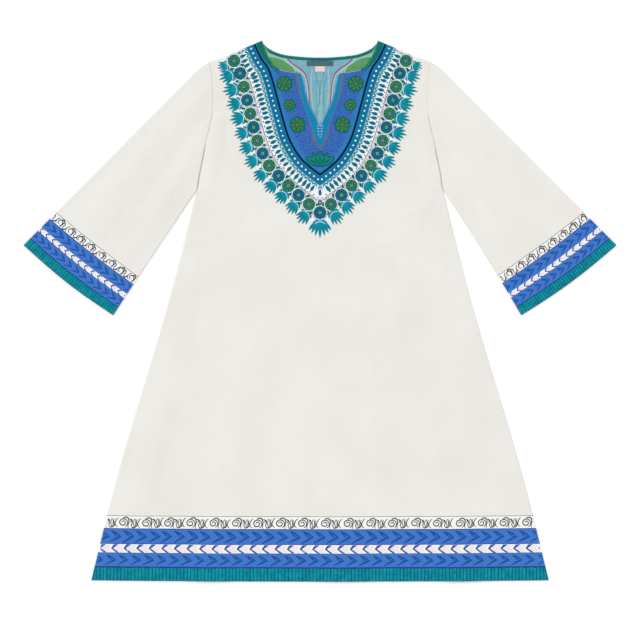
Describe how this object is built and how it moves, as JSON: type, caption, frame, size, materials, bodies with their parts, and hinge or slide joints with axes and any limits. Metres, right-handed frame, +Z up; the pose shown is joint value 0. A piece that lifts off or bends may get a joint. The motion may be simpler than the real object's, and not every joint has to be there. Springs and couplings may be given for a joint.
{
  "type": "dashiki dress",
  "caption": "Dashiki dress laid flat on its back: A-line body, wide sleeves, slit neck with a printed yoke, banded hem and cuffs.",
  "frame": {"origin": "on the surface the dress lies on, under the middle of its overall width and length", "axes": "+X to the right-hand sleeve as seen from above, +Y from the hem to the neck, +Z up out of the front of the dress"},
  "size_m": [1.097, 1.001, 0.0061],
  "materials": {
    "cotton": "plain woven cotton, soft matt",
    "binding": "teal cotton binding, matt",
    "facing": "bright blue cotton strip, matt",
    "label_green": "woven label, soft sheen",
    "label_white": "woven label, soft sheen"
  },
  "bodies": {
    "root": {"back_panel": "cotton", "front_panel": "cotton", "sleeve_right": "cotton", "sleeve_left": "cotton", "neck_binding_back": "binding", "neck_binding_right": "binding", "neck_binding_left": "binding", "slit_facing": "facing", "main_label": "label_green", "size_label": "label_white"}
  },
  "joints": []
}
